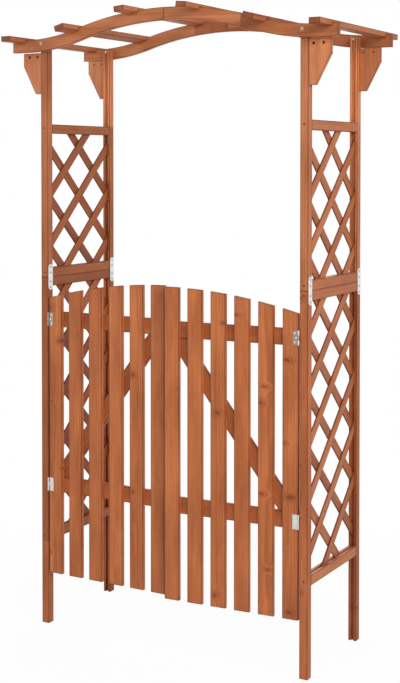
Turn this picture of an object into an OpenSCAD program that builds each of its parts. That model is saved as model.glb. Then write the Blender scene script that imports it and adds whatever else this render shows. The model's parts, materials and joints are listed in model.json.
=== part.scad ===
// Garden arch: four grooved posts in two lengths, lattice side panels, two wavy
// beams with six slats across them, and a double picket gate on butt hinges.
// Millimetres. X runs across the passage, Y from front to rear, Z up.
// The origin lies on the ground in the middle of the arch.

/* [Posts] */
// Side of the square posts
post_w = 27; // [24:1:40]
// Distance between post centres across the passage
span_x = 966; // [800:1:1060]
// Distance between post centres from front to rear
span_y = 372; // [300:1:500]
// Height at which the upper posts stand on the lower ones
joint_z = 1178; // [1080:1:1300]
// Width of the groove that takes the lattice
groove_w = 9.6; // [9.4:0.2:14]
// Depth of the groove
groove_d = 8; // [5:0.5:10]

/* [Side panels] */
// Height of the panel rails
rail_h = 31; // [20:1:50]
// Underside of the lowest rail above the ground
bottom_rail_z = 282; // [150:1:450]
// Height of the upper panel section, rails included
upper_panel_h = 516; // [350:1:650]
// Width of a lattice strip
strip_w = 31; // [16:1:40]
// Thickness of a lattice strip
strip_t = 4.5; // [3:0.1:4.6]
// Half of a lattice diamond, from front to rear
diamond_y = 88; // [70:1:110]
// Half of a lattice diamond, upwards
diamond_z = 84.5; // [70:0.5:110]
// Strips in each layer of the lower lattice
lower_strips = 6; // [4:1:6]
// Strips in each layer of the upper lattice
upper_strips = 4; // [2:1:4]
// Middle of the lowest strip of the lower lattice above its bottom rail
lower_strip_h = 51; // [20:1:100]
// Middle of the lowest strip of the upper lattice above its bottom rail
upper_strip_h = -94; // [-120:1:60]

/* [Beams] */
// Length of a beam, both halves together
beam_len = 1200; // [1170:1:1400]
// Depth of a beam
beam_h = 41; // [30:1:60]
// Thickness of a beam
beam_t = 18; // [12:1:30]
// Underside of the beam ends above the ground
beam_z = 1936; // [1850:1:2100]
// Rise of the wave above the beam ends
crown_h = 80; // [40:1:110]
// Half of the length over which the beam is curved
wave_half = 542; // [480:1:570]
// Radius of the crown, on the underside
crown_r = 1110; // [900:10:1300]
// Distance of the post tops below the top of the beam ends
post_drop = 4; // [0:1:10]

/* [Slats] */
// Length of a slat
slat_len = 610; // [500:1:800]
// Width of a slat
slat_w = 36; // [20:1:42]
// Thickness of a slat
slat_t = 18; // [14:1:30]
// Depth of the notches that sit over the beams
slat_notch = 10; // [4:1:12]
// Distance of the inner slats from the middle
slat_inner_x = 114; // [60:1:180]
// Distance of the middle slats from the middle
slat_mid_x = 346; // [260:1:420]
// Distance of the outer slats from the middle
slat_outer_x = 564; // [520:1:570]

/* [Brackets] */
// Width of a bracket at the top
bracket_w = 73; // [50:1:90]
// Height of a bracket
bracket_h = 138; // [90:1:200]
// Height of the upright outer edge
bracket_edge_h = 45; // [20:1:80]
// Width of a bracket at the bottom
bracket_foot_w = 23; // [10:1:40]
// Thickness of a bracket
bracket_t = 12; // [8:1:20]
// Distance of a bracket behind the outer face of its post
bracket_setback = 2; // [0:0.5:6]
// Diameter of the screw holes sunk into a bracket
bracket_hole_d = 8; // [5:0.5:10]

/* [Gate] */
// Underside of the pickets above the ground
gate_bottom_z = 176; // [100:1:300]
// Top of the arched gate in the middle
gate_crown_z = 1172; // [1100:1:1300]
// Fall of the arched top from the middle to the posts
gate_fall = 64; // [20:1:100]
// Width of a picket
picket_w = 51; // [35:1:60]
// Thickness of a picket
picket_t = 13; // [9:1:18]
// Pickets in a leaf
picket_count = 6; // [4:1:7]
// Gap between a leaf and its post
hinge_gap = 5; // [5:0.5:8]
// Gap between the closed leaves
meeting_gap = 20; // [8:1:24]
// Height of a gate rail
gate_rail_h = 52; // [35:1:60]
// Thickness of the gate rails and of the brace
gate_rail_t = 13; // [9:1:18]
// Middle of the lower gate rail above the ground
lower_rail_z = 477; // [300:1:560]
// Middle of the upper gate rail above the ground
upper_rail_z = 1036; // [900:1:1050]
// Distance of the brace's ends from the leaf's edges, along the rails
brace_inset = 36; // [28:1:60]
// Opening angle at which the right leaf stands
right_ajar = 4; // [0:0.5:20]

/* [Hinges and plates] */
// Height of a hinge
hinge_h = 45; // [30:1:60]
// Width of a hinge leaf
hinge_leaf_w = 20; // [14:1:24]
// Thickness of a hinge leaf
hinge_leaf_t = 1.5; // [1:0.1:2]
// Diameter of the hinge knuckle
knuckle_d = 6; // [5:0.2:7]
// Diameter of the hinge pin
pin_d = 3; // [2:0.1:3.4]
// Clearance between the pin and the gate's knuckle
pin_clearance = 0.08; // [0.02:0.01:0.1]
// Gap between neighbouring knuckles
knuckle_gap = 0.3; // [0.2:0.1:1]
// Height of a joiner plate
plate_h = 87; // [60:1:110]
// Width of a joiner plate
plate_w = 23; // [12:1:24]
// Thickness of a joiner plate
plate_t = 2; // [1:0.5:3]

/* [Hidden] */
$fn = 48;
// Clearances: a slat on its beam, a notch beside it, a bracket below it, a strip's end in its groove
slat_seat = 0.3;
notch_gap = 0.5;
bracket_gap = 2;
strip_end_gap = 1.5;
// Screw holes of a bracket: distances from the post, distance below the top, depth
bracket_hole_x = [15.5, 48.5];
bracket_hole_drop = 13;
bracket_hole_depth = 6;
// Overlap that makes a cut run clear of a face
cut = 1;
// Outer faces of the posts
face_x = span_x / 2 + post_w / 2;
face_y = span_y / 2 + post_w / 2;
inner_x = span_x / 2 - post_w / 2;
inner_y = span_y / 2 - post_w / 2;
post_top_z = beam_z + beam_h - post_drop;
// Lattice fields, between the rails
lower_field = [bottom_rail_z + rail_h, joint_z - rail_h];
upper_field = [joint_z + rail_h, joint_z + upper_panel_h - rail_h];
strip_bite = groove_d - strip_end_gap;
strip_slope = atan2(diamond_z, diamond_y);
// Wave of the beams: a crown arc runs into a hollow arc at the angle wave_a
wave_a = 2 * atan(crown_h / wave_half);
hollow_r = (wave_half * wave_half + crown_h * crown_h) / (2 * crown_h) - crown_r;
// Gate leaves
leaf_w = inner_x - hinge_gap - meeting_gap / 2;
leaf_x = hinge_gap - inner_x;
picket_pitch = (leaf_w - picket_w) / (picket_count - 1);
gate_r = (inner_x * inner_x + gate_fall * gate_fall) / (2 * gate_fall);
// Hinge axes, in front of the gap between leaf and post
axis_x = inner_x - hinge_gap / 2;
axis_y = -face_y - knuckle_d / 2;
knuckle_h = (hinge_h - 2 * knuckle_gap) / 3;
// Distance from the axis at which the gate's plate clears the post's knuckles
gate_plate_x = knuckle_d / 2 + 1;

wood = [0.72, 0.42, 0.26];
dark_wood = [0.62, 0.34, 0.20];
steel = [0.80, 0.81, 0.82];

// ---- posts --------------------------------------------------------------

// A post from z0 to z1 with its groove on the side towards the panel.
module post(sx, sy, z0, z1) {
    color(wood)
    translate([sx * span_x / 2, sy * span_y / 2, 0])
    difference() {
        translate([-post_w / 2, -post_w / 2, z0]) cube([post_w, post_w, z1 - z0]);
        translate([-groove_w / 2, -sy * (post_w / 2 - groove_d / 2 + cut / 2) - (groove_d + cut) / 2, z0 - cut])
            cube([groove_w, groove_d + cut, z1 - z0 + 2 * cut]);
    }
}

// ---- side panels --------------------------------------------------------

// A rail between the posts with its groove above (dir = 1) or below (dir = -1).
module panel_rail(z0, dir) {
    difference() {
        translate([-post_w / 2, -inner_y, z0]) cube([post_w, 2 * inner_y, rail_h]);
        translate([0, 0, z0 + rail_h / 2 + dir * (rail_h + cut - groove_d) / 2])
            cube([groove_w, 2 * inner_y + 2 * cut, groove_d + cut], center = true);
    }
}

// The two rails of a panel section, below and above the field of its lattice.
module panel_rails(sx, field) {
    color(wood)
    translate([sx * span_x / 2, 0, 0]) {
        panel_rail(field[0] - rail_h, 1);
        panel_rail(field[1], -1);
    }
}

// One layer of parallel strips, drawn in Y and Z; dir = 1 rises to the rear.
// strip_h is the lowest strip's height above the field, on the panel's middle line.
module strip_layer(field, strips, strip_h, dir) {
    side = inner_y + strip_bite;
    intersection() {
        translate([-side, field[0] - strip_bite]) square([2 * side, field[1] - field[0] + 2 * strip_bite]);
        for (i = [0 : strips - 1])
            translate([0, field[0] + strip_h + i * 2 * diamond_z]) rotate(dir * strip_slope)
                square([4 * side, strip_w], center = true);
    }
}

// The lattice of one field: the layer on the +X side rises to the rear.
module lattice(sx, field, strips, strip_h) {
    color(dark_wood)
    translate([sx * span_x / 2, 0, 0]) {
        rotate([90, 0, 90]) linear_extrude(strip_t) strip_layer(field, strips, strip_h, 1);
        translate([-strip_t, 0, 0]) rotate([90, 0, 90]) linear_extrude(strip_t)
            strip_layer(field, strips, strip_h, -1);
    }
}

// ---- joiner plates ------------------------------------------------------

// A steel plate with round ends, standing across the joint of a post.
module plate() {
    r = plate_w / 2;
    linear_extrude(plate_t) {
        square([plate_w, plate_h - 2 * r], center = true);
        for (b = [-1, 1]) translate([0, b * (plate_h / 2 - r)]) circle(r);
    }
}

// The four plates of one side: inner and outer face of the front and the rear post.
module joiner_plates(sx) {
    color(steel)
    for (sy = [-1, 1], side = [-1, 1])
        translate([sx * span_x / 2 + side * post_w / 2, sy * span_y / 2, joint_z])
            rotate([90, 0, side * 90]) plate();
}

// ---- beams and slats ----------------------------------------------------

// Half of a wavy beam in X and Z, its crown at x = 0, its underside end at z = 0.
// The arcs meet on the line between their centres.
module beam_half_outline() {
    crown_c = [0, crown_h - crown_r];
    hollow_c = [wave_half, hollow_r];
    // Straight end
    translate([wave_half, 0]) square([beam_len / 2 - wave_half, beam_h]);
    // Crown arc
    intersection() {
        difference() {
            translate(crown_c) circle(crown_r + beam_h, $fn = 360);
            translate(crown_c) circle(crown_r, $fn = 360);
        }
        polygon([crown_c, hollow_c, [0, crown_h + 2 * beam_h]]);
    }
    // Hollow arc
    intersection() {
        difference() {
            translate(hollow_c) circle(hollow_r, $fn = 360);
            translate(hollow_c) circle(hollow_r - beam_h, $fn = 360);
        }
        polygon([hollow_c, crown_c, [wave_half, -cut]]);
    }
}

module beam_half(sx, sy) {
    color(wood)
    translate([0, sy > 0 ? face_y + beam_t : -face_y, beam_z])
        mirror([sx > 0 ? 0 : 1, 0, 0])
            rotate([90, 0, 0]) linear_extrude(beam_t) beam_half_outline();
}

// Place and slope of the beam's top at a distance x from the middle.
function crown_angle(x) = asin(x / (crown_r + beam_h));
function hollow_angle(x) = asin((wave_half - x) / (hollow_r - beam_h));
function top_angle(x) = x >= wave_half ? 0 : crown_angle(x) <= wave_a ? crown_angle(x) : hollow_angle(x);
function top_z(x) = x >= wave_half ? beam_z + beam_h
    : crown_angle(x) <= wave_a ? beam_z + crown_h - crown_r + (crown_r + beam_h) * cos(crown_angle(x))
    : beam_z + hollow_r - (hollow_r - beam_h) * cos(hollow_angle(x));

// A slat with a notch over each beam, leaning with the beams where it crosses them.
module slat(sx, x) {
    color(dark_wood)
    translate([sx * x, 0, top_z(x)]) rotate([0, sx * top_angle(x), 0])
    difference() {
        translate([-slat_w / 2, -slat_len / 2, slat_seat - slat_notch]) cube([slat_w, slat_len, slat_t]);
        for (sy = [-1, 1])
            translate([0, sy * (face_y + beam_t / 2), slat_seat - slat_notch / 2 - cut / 2])
                cube([slat_w + 2 * cut, beam_t + 2 * notch_gap, slat_notch + cut], center = true);
    }
}

// ---- brackets -----------------------------------------------------------

module bracket(sx, sy) {
    top = beam_z - bracket_gap;
    color(wood)
    mirror([sx > 0 ? 0 : 1, 0, 0]) mirror([0, sy > 0 ? 1 : 0, 0])
        translate([face_x, bracket_setback - face_y, top]) difference() {
            translate([0, bracket_t, 0]) rotate([90, 0, 0]) linear_extrude(bracket_t)
                polygon([[0, 0], [bracket_w, 0], [bracket_w, -bracket_edge_h],
                         [bracket_foot_w, -bracket_h], [0, -bracket_h]]);
            for (x = bracket_hole_x)
                translate([x, bracket_hole_depth, -bracket_hole_drop]) rotate([90, 0, 0])
                    cylinder(d = bracket_hole_d, h = bracket_hole_depth + cut);
        }
}

// ---- gate ---------------------------------------------------------------

// Puts a leaf drawn for the left side on its hinges, at its opening angle.
module hang(sx) {
    mirror([sx > 0 ? 1 : 0, 0, 0])
        translate([-axis_x, axis_y, 0]) rotate(sx > 0 ? -right_ajar : 0) translate([axis_x, -axis_y, 0])
            children();
}

// Height of the arched top at a distance x from the middle of the gate.
function gate_top_z(x) = gate_crown_z - gate_r + sqrt(gate_r * gate_r - x * x);

module pickets(sx) {
    color(wood)
    hang(sx)
    for (i = [0 : picket_count - 1]) {
        x = leaf_x + i * picket_pitch;
        translate([0, -face_y + picket_t, 0]) rotate([90, 0, 0]) linear_extrude(picket_t)
            polygon([[x, gate_bottom_z], [x + picket_w, gate_bottom_z],
                     [x + picket_w, gate_top_z(x + picket_w)], [x, gate_top_z(x)]]);
    }
}

module gate_rail(sx, z) {
    color(dark_wood)
    hang(sx)
    translate([leaf_x, -face_y + picket_t, z - gate_rail_h / 2])
        cube([leaf_w, gate_rail_t, gate_rail_h]);
}

// The brace rises from the hinge side to the meeting side, between the rails.
module gate_brace(sx) {
    z0 = lower_rail_z + gate_rail_h / 2;
    z1 = upper_rail_z - gate_rail_h / 2;
    color(dark_wood)
    hang(sx)
    translate([0, -face_y + picket_t + gate_rail_t, 0]) rotate([90, 0, 0]) linear_extrude(gate_rail_t)
    intersection() {
        translate([leaf_x, z0]) square([leaf_w, z1 - z0]);
        translate([leaf_x + leaf_w / 2, (z0 + z1) / 2])
            rotate(atan2(z1 - z0, leaf_w - 2 * brace_inset))
                square([2 * (z1 - z0), picket_w], center = true);
    }
}

// ---- hinges -------------------------------------------------------------

// Post side of a left hinge: plate on the post's inner face, two knuckles and the pin.
module post_hinge(z) {
    z0 = z - hinge_h / 2;
    for (z1 = [z0, z0 + 2 * (knuckle_h + knuckle_gap)]) {
        translate([-axis_x, axis_y, z1]) cylinder(d = knuckle_d, h = knuckle_h);
        translate([-inner_x, axis_y, z1]) cube([hinge_leaf_t, hinge_leaf_w / 2, knuckle_h]);
    }
    translate([-inner_x, -face_y + knuckle_d / 2, z0])
        cube([hinge_leaf_t, hinge_leaf_w - knuckle_d / 2, hinge_h]);
    translate([-axis_x, axis_y, z0]) cylinder(d = pin_d, h = hinge_h);
}

// Gate side of a left hinge: plate on the outer picket's front face and the middle knuckle.
module gate_hinge(z) {
    z0 = z - hinge_h / 2;
    z1 = z0 + knuckle_h + knuckle_gap;
    difference() {
        union() {
            translate([-axis_x, axis_y, z1]) cylinder(d = knuckle_d, h = knuckle_h);
            translate([-axis_x, -face_y - hinge_leaf_t, z1])
                cube([hinge_leaf_w / 2, hinge_leaf_t, knuckle_h]);
            translate([-axis_x + gate_plate_x, -face_y - hinge_leaf_t, z0])
                cube([hinge_leaf_w - gate_plate_x, hinge_leaf_t, hinge_h]);
        }
        translate([-axis_x, axis_y, z0]) cylinder(d = pin_d + 2 * pin_clearance, h = hinge_h);
    }
}

module post_hinges(sx) {
    color(steel)
    for (z = [lower_rail_z, upper_rail_z]) mirror([sx > 0 ? 1 : 0, 0, 0]) post_hinge(z);
}

module gate_hinges(sx) {
    color(steel)
    hang(sx) for (z = [lower_rail_z, upper_rail_z]) gate_hinge(z);
}

// ---- nodes --------------------------------------------------------------

post(-1, -1, 0, joint_z);  // front_left_lower_post
post(1, -1, 0, joint_z);  // front_right_lower_post
post(-1, 1, 0, joint_z);  // rear_left_lower_post
post(1, 1, 0, joint_z);  // rear_right_lower_post
post(-1, -1, joint_z, post_top_z);  // front_left_upper_post
post(1, -1, joint_z, post_top_z);  // front_right_upper_post
post(-1, 1, joint_z, post_top_z);  // rear_left_upper_post
post(1, 1, joint_z, post_top_z);  // rear_right_upper_post

panel_rails(-1, lower_field);  // left_lower_rails
panel_rails(-1, upper_field);  // left_upper_rails
panel_rails(1, lower_field);  // right_lower_rails
panel_rails(1, upper_field);  // right_upper_rails

lattice(-1, lower_field, lower_strips, lower_strip_h);  // left_lower_lattice
lattice(-1, upper_field, upper_strips, upper_strip_h);  // left_upper_lattice
lattice(1, lower_field, lower_strips, lower_strip_h);  // right_lower_lattice
lattice(1, upper_field, upper_strips, upper_strip_h);  // right_upper_lattice

joiner_plates(-1);  // left_joiner_plates
joiner_plates(1);  // right_joiner_plates

bracket(-1, -1);  // front_left_bracket
bracket(1, -1);  // front_right_bracket
bracket(-1, 1);  // rear_left_bracket
bracket(1, 1);  // rear_right_bracket

beam_half(-1, -1);  // front_beam_left_half
beam_half(1, -1);  // front_beam_right_half
beam_half(-1, 1);  // rear_beam_left_half
beam_half(1, 1);  // rear_beam_right_half

slat(-1, slat_outer_x);  // slat_1
slat(-1, slat_mid_x);  // slat_2
slat(-1, slat_inner_x);  // slat_3
slat(1, slat_inner_x);  // slat_4
slat(1, slat_mid_x);  // slat_5
slat(1, slat_outer_x);  // slat_6

post_hinges(-1);  // left_post_hinges
post_hinges(1);  // right_post_hinges

pickets(-1);  // left_pickets
gate_rail(-1, upper_rail_z);  // left_gate_upper_rail
gate_rail(-1, lower_rail_z);  // left_gate_lower_rail
gate_brace(-1);  // left_gate_brace
gate_hinges(-1);  // left_gate_hinges
pickets(1);  // right_pickets
gate_rail(1, upper_rail_z);  // right_gate_upper_rail
gate_rail(1, lower_rail_z);  // right_gate_lower_rail
gate_brace(1);  // right_gate_brace
gate_hinges(1);  // right_gate_hinges
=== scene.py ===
# %% [markdown]
# # A garden arch with a double picket gate
# The real arch is a flat-pack of thin softwood boards, stained orange-brown at the factory: four
# slim posts, lattice side panels, two wavy beams with slats across them, and a low gate in two
# leaves. It could be modelled from nothing here, but its sizes are fixed by the CAD frame, so this
# notebook dresses that frame. Each board gets soft edges and its own grain, and the small things
# are added that hold the boards together.

# %% Load the frame
import json
import math
import random

import bmesh
import bpy
from mathutils import Matrix, Vector


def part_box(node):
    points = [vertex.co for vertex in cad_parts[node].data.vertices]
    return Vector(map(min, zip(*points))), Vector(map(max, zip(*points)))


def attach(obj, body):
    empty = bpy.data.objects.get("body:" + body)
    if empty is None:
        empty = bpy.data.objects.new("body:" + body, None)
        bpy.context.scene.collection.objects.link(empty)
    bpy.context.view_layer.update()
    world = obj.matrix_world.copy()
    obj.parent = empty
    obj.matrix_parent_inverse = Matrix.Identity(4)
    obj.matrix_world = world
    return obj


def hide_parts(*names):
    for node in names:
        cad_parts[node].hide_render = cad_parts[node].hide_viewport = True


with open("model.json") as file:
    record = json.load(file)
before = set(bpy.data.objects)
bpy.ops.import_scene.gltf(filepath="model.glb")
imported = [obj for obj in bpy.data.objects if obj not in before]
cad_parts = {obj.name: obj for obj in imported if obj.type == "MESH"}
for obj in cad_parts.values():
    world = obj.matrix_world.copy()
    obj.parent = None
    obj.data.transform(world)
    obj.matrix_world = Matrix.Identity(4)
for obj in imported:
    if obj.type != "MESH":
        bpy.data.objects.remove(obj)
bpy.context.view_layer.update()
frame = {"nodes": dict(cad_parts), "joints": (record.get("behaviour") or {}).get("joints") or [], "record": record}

MM = 0.001  # all lengths are in metres

# %% [markdown]
# ## The camera
# The arch is seen from the front right, from about eye height, and its posts stand upright in the
# view. A camera tilted down at the feet would make them lean together. This one looks nearly
# level, and its frame is shifted down instead, as on an architect's camera.

# %% Camera
def put(name, data):
    """A new object in the scene."""
    made = bpy.data.objects.new(name, data)
    bpy.context.scene.collection.objects.link(made)
    return made


CAMERA_PLACE = (2.153, -3.728, 1.563)
LOOKS_DOWN, TURNED_LEFT = 1.41, 30.4  # degrees
FILM, LENS = 36, 68.37  # millimetres
FRAME_SHIFT = (0.016, -0.2145)  # to the right and up, in shares of the frame's long side
camera = put("camera", bpy.data.cameras.new("camera"))
bpy.context.scene.camera = camera
camera.location = CAMERA_PLACE
camera.rotation_euler = (math.radians(90 - LOOKS_DOWN), 0, math.radians(TURNED_LEFT))
camera.data.sensor_width, camera.data.lens = FILM, LENS
camera.data.shift_x, camera.data.shift_y = FRAME_SHIFT
print("camera stands", round(camera.location.length, 2), "m from the foot of the arch")

# %% [markdown]
# ## The studio
# A plain white sweep and soft light from the upper right, as for a catalogue. Stronger lamps could
# make the floor white, but they would bleach the wood too. So the floor is an ordinary matt
# surface that takes the shadow of the arch, and only what sees it directly finds it glowing. It is
# quite white further out, which lets it run into the background without an edge.

# %% Helpers for nodes
def add(tree, kind, inputs=None, **settings):
    """Adds a node, sets it up, and links or sets its inputs, given by name or number."""
    node = tree.nodes.new(kind)
    for name, value in settings.items():
        setattr(node, name, value)
    for key, value in (inputs or {}).items():
        if isinstance(value, bpy.types.NodeSocket):
            tree.links.new(value, node.inputs[key])
        else:
            node.inputs[key].default_value = value
    return node


def calc(tree, operation, *values):
    """One Math node; returns its output."""
    return add(tree, "ShaderNodeMath", dict(enumerate(values)), operation=operation).outputs[0]


# %% World
def seen_directly(tree):
    """One for what the camera sees, also in a reflection or through glass; nought for light."""
    path = add(tree, "ShaderNodeLightPath").outputs
    seen = calc(tree, "MAXIMUM", path["Is Camera Ray"], path["Is Transmission Ray"])
    return calc(tree, "MAXIMUM", seen, path["Is Glossy Ray"])


WHITE, WARM_WHITE = (1, 1, 1, 1), (1.0, 0.99, 0.97, 1)
AMBIENT = 0.36  # strength of the light from all round
world = bpy.data.worlds.new("studio")
bpy.context.scene.world = world
world.use_nodes = True
tree = world.node_tree
tree.nodes.clear()
ambient = add(tree, "ShaderNodeBackground", {"Color": WARM_WHITE, "Strength": AMBIENT})
backdrop = add(tree, "ShaderNodeBackground", {"Color": WHITE, "Strength": 1.0})
mixed = add(tree, "ShaderNodeMixShader",
            {0: seen_directly(tree), 1: ambient.outputs[0], 2: backdrop.outputs[0]})
add(tree, "ShaderNodeOutputWorld", {"Surface": mixed.outputs[0]})
print("light from all round at strength", AMBIENT)

# %% Helpers for materials
def calc_vector(tree, operation, *values):
    """One Vector Math node; returns its output."""
    node = add(tree, "ShaderNodeVectorMath", dict(enumerate(values)), operation=operation)
    return node.outputs["Value" if operation == "LENGTH" else "Vector"]


def remap(tree, value, source=(0, 1), target=(0, 1), curve="LINEAR"):
    """Stretches one span of values to another, and stops at its ends."""
    return add(tree, "ShaderNodeMapRange", {
        "Value": value, "From Min": source[0], "From Max": source[1],
        "To Min": target[0], "To Max": target[1]}, interpolation_type=curve).outputs[0]


def new_material(name):
    material = bpy.data.materials.new(name)
    material.use_nodes = True
    material.node_tree.nodes.clear()
    return material, material.node_tree


# %% Floor
FLOOR = 9.0  # half its width
FADE, FADE_WHITE = (0.5, 1.5), (0.96, 1.0)  # metres from the middle, and how white it is there
FLOOR_GREY = (0.86, 0.86, 0.85, 1)
material, tree = new_material("studio_floor")
place = add(tree, "ShaderNodeTexCoord").outputs["Object"]
white_out = remap(tree, calc_vector(tree, "LENGTH", place), FADE, FADE_WHITE)
glow = calc(tree, "MULTIPLY", seen_directly(tree), white_out)
matt = add(tree, "ShaderNodeBsdfDiffuse", {"Color": FLOOR_GREY})
light = add(tree, "ShaderNodeEmission", {"Color": WHITE, "Strength": 1.0})
mixed = add(tree, "ShaderNodeMixShader", {0: glow, 1: matt.outputs[0], 2: light.outputs[0]})
add(tree, "ShaderNodeOutputMaterial", {"Surface": mixed.outputs[0]})

floor_mesh = bpy.data.meshes.new("floor")
corners = [(-FLOOR, -FLOOR, 0), (FLOOR, -FLOOR, 0), (FLOOR, FLOOR, 0), (-FLOOR, FLOOR, 0)]
floor_mesh.from_pydata(corners, [], [(0, 1, 2, 3)])
floor_mesh.materials.append(material)
floor = put("floor", floor_mesh)
print("floor is", 2 * FLOOR, "m wide")

# %% Lamps
def softbox(name, place, target, side, power):
    """A square lamp that looks at its target."""
    data = bpy.data.lights.new(name, "AREA")
    data.shape, data.size, data.energy = "SQUARE", side, power
    lamp = put(name, data)
    lamp.location = place
    lamp.rotation_euler = (Vector(target) - Vector(place)).to_track_quat("-Z", "Y").to_euler()


LAMPS = {  # place, target, side in metres, power in watts
    "key": ((3.4, -2.5, 3.0), (0.1, 0, 1.1), 2.1, 128),
    "fill": ((-3.2, -3.0, 2.0), (0, 0, 1.0), 2.4, 34),
    "back": ((-1.6, 4.2, 2.6), (0, 0, 1.1), 2.6, 60)}
for name, settings in LAMPS.items():
    softbox(name, *settings)
print(len(LAMPS), "softboxes and a white sweep")

# %% [markdown]
# ## Wood as a solid
# Each board was sawn from a log, so its grain is a slice through the growth rings round the pith
# and through the knots where branches grew. Grain could be wrapped round a board as a flat
# texture, but it would break at every edge. Here the boards carry their place in the log instead:
# an attribute holds it for each corner, measured from the pith, and the wood's nodes draw knots,
# rings and fibres at that place. The same slice then runs on round the edges and to the end.

# %% Helpers for groups
FLOAT, VECTOR, COLOUR = "NodeSocketFloat", "NodeSocketVector", "NodeSocketColor"


def new_group(name, inputs, outputs):
    """A shader group with named sockets; returns its tree, what it is given, and its end."""
    group = bpy.data.node_groups.new(name, "ShaderNodeTree")
    for label, kind, value in inputs:
        socket = group.interface.new_socket(label, in_out="INPUT", socket_type=kind)
        if value is not None:
            socket.default_value = value
    for label, kind in outputs:
        group.interface.new_socket(label, in_out="OUTPUT", socket_type=kind)
    return group, group.nodes.new("NodeGroupInput").outputs, group.nodes.new("NodeGroupOutput")


def put_out(group, end, **results):
    """Links a group's results to its outputs."""
    for label, value in results.items():
        group.links.new(value, end.inputs[label])
    print("group:", group.name)


def combine(tree, **axes):
    """A vector from its X, Y and Z, where those left out are 0."""
    return add(tree, "ShaderNodeCombineXYZ", axes).outputs[0]


# %% Knots
BARK = 0.05  # radius at which the log's skin is unrolled
SQUAT = 1.35  # how much wider than high a knot is
WANDER_SCALE, WANDER = 60.0, (0.008, 0.008, 0.008)  # how finely and how far it loses its round
SMALLEST = 0.35  # radius of the smallest knot, as a share of Size
HEART, RIM = (1.15, 0.55), (3.6, 0.6)  # where each begins and is full, in radii of the knot
knots, given, end = new_group(
    "Knots",
    [("Log Place", VECTOR, None), ("Spacing", FLOAT, 0.15), ("Share", FLOAT, 0.5),
     ("Size", FLOAT, 0.007)],
    [("Core", FLOAT), ("Halo", FLOAT), ("Distance", FLOAT)])
log_place, spacing, size = given["Log Place"], given["Spacing"], given["Size"]
wander = add(knots, "ShaderNodeTexNoise",
             {"Vector": log_place, "Scale": WANDER_SCALE, "Detail": 2.0})
shift = calc_vector(knots, "SUBTRACT", wander.outputs["Color"], (0.5, 0.5, 0.5))
moved = calc_vector(knots, "MULTIPLY_ADD", shift, WANDER, log_place)
parts = add(knots, "ShaderNodeSeparateXYZ", {0: moved}).outputs
around = calc(knots, "MULTIPLY", calc(knots, "ARCTAN2", parts["Y"], parts["X"]), BARK)
skin = combine(knots, X=around, Y=calc(knots, "MULTIPLY", parts["Z"], SQUAT))
cells = add(knots, "ShaderNodeTexVoronoi",
            {"Vector": skin, "Scale": calc(knots, "DIVIDE", 1.0, spacing), "Randomness": 0.9},
            voronoi_dimensions="2D", feature="F1")
lot = add(knots, "ShaderNodeSeparateColor", {0: cells.outputs["Color"]}).outputs
distance = calc(knots, "MULTIPLY", cells.outputs["Distance"], spacing)
absent = calc(knots, "GREATER_THAN", lot["Red"], given["Share"])
distance = calc(knots, "ADD", distance, absent)
radius = calc(knots, "MULTIPLY_ADD", lot["Green"], size, calc(knots, "MULTIPLY", size, SMALLEST))
ratio = calc(knots, "DIVIDE", distance, radius)
put_out(knots, end, Core=remap(knots, ratio, HEART, curve="SMOOTHSTEP"),
        Halo=remap(knots, ratio, RIM, curve="SMOOTHSTEP"), Distance=distance)

# %% Growth rings
BEND, THIN, WIDE = (16, 16, 1.7), (900, 900, 14), (22, 22, 4)  # waves a metre across and along
KNOT_REACH, SWERVE = 0.014, 0.009  # how near to a knot the rings swerve, and how far
SEASON = ((0.12, 0.0), (0.5, 0.12), (0.86, 1.0), (0.95, 0.9))  # time of the year, darkness
SEASON_ENDS = (0.25, 0.3)  # darkness at the year's beginning and end
POOREST, SPREAD = 0.4, 0.6  # strength of the palest ring, and what luck may add
rings, given, end = new_group(
    "Growth rings",
    [("Log Place", VECTOR, None), ("Ring Width", FLOAT, 0.004), ("Wobble", FLOAT, 0.012),
     ("Knot Distance", FLOAT, 1.0)],
    [("Latewood", FLOAT), ("Fibre", FLOAT), ("Cloud", FLOAT)])
log_place = given["Log Place"]


def noise(stretch, detail, roughness):
    """Noise in the log, stretched along the grain."""
    place = calc_vector(rings, "MULTIPLY", log_place, stretch)
    return add(rings, "ShaderNodeTexNoise", {
        "Vector": place, "Scale": 1.0, "Detail": detail, "Roughness": roughness}).outputs["Fac"]


parts = add(rings, "ShaderNodeSeparateXYZ", {0: log_place}).outputs
from_pith = calc_vector(rings, "LENGTH", combine(rings, X=parts["X"], Y=parts["Y"]))
bend = noise(BEND, detail=3.0, roughness=0.45)
bent = calc(rings, "MULTIPLY_ADD", bend, given["Wobble"], from_pith)
near = calc(rings, "DIVIDE", given["Knot Distance"], KNOT_REACH)
near = calc(rings, "MULTIPLY", calc(rings, "MULTIPLY", near, near), -1.0)
bent = calc(rings, "MULTIPLY_ADD", calc(rings, "EXPONENT", near), SWERVE, bent)
year = calc(rings, "DIVIDE", bent, given["Ring Width"])
late = add(rings, "ShaderNodeValToRGB", {0: calc(rings, "FRACT", year)})
ramp = late.color_ramp
ramp.interpolation = "EASE"
for stop, value in zip(ramp.elements, SEASON_ENDS):
    stop.color = (value, value, value, 1)
for position, value in SEASON:
    ramp.elements.new(position).color = (value, value, value, 1)
luck = add(rings, "ShaderNodeTexWhiteNoise", {"W": calc(rings, "FLOOR", year)},
           noise_dimensions="1D")
strength = calc(rings, "MULTIPLY_ADD", luck.outputs["Value"], SPREAD, POOREST)
put_out(rings, end, Latewood=calc(rings, "MULTIPLY", late.outputs[0], strength),
        Fibre=noise(THIN, detail=3.0, roughness=0.6),
        Cloud=noise(WIDE, detail=4.0, roughness=0.55))

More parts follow.
